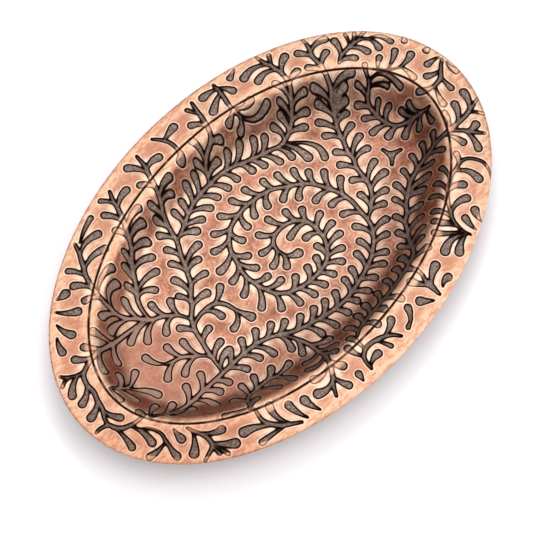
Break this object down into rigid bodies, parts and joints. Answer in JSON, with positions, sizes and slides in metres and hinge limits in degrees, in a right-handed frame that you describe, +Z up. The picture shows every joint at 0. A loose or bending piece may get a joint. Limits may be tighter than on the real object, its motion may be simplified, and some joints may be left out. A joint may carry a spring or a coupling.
{
  "type": "oval trinket tray",
  "caption": "Small oval tray pressed from one copper sheet, with a sloping rim, a rounded crest and a shallow flat-bottomed well.",
  "frame": {"origin": "under the middle of the well, on the surface that the tray stands on", "axes": "+X along the tray's length, +Y across it, +Z up out of the well"},
  "size_m": [0.114, 0.074, 0.0078],
  "materials": {
    "patinated_copper": "copper with a dark patina in a rolled leaf pattern, burnished on the raised metal"
  },
  "bodies": {
    "root": {"pressed_sheet": "patinated_copper"}
  },
  "joints": []
}
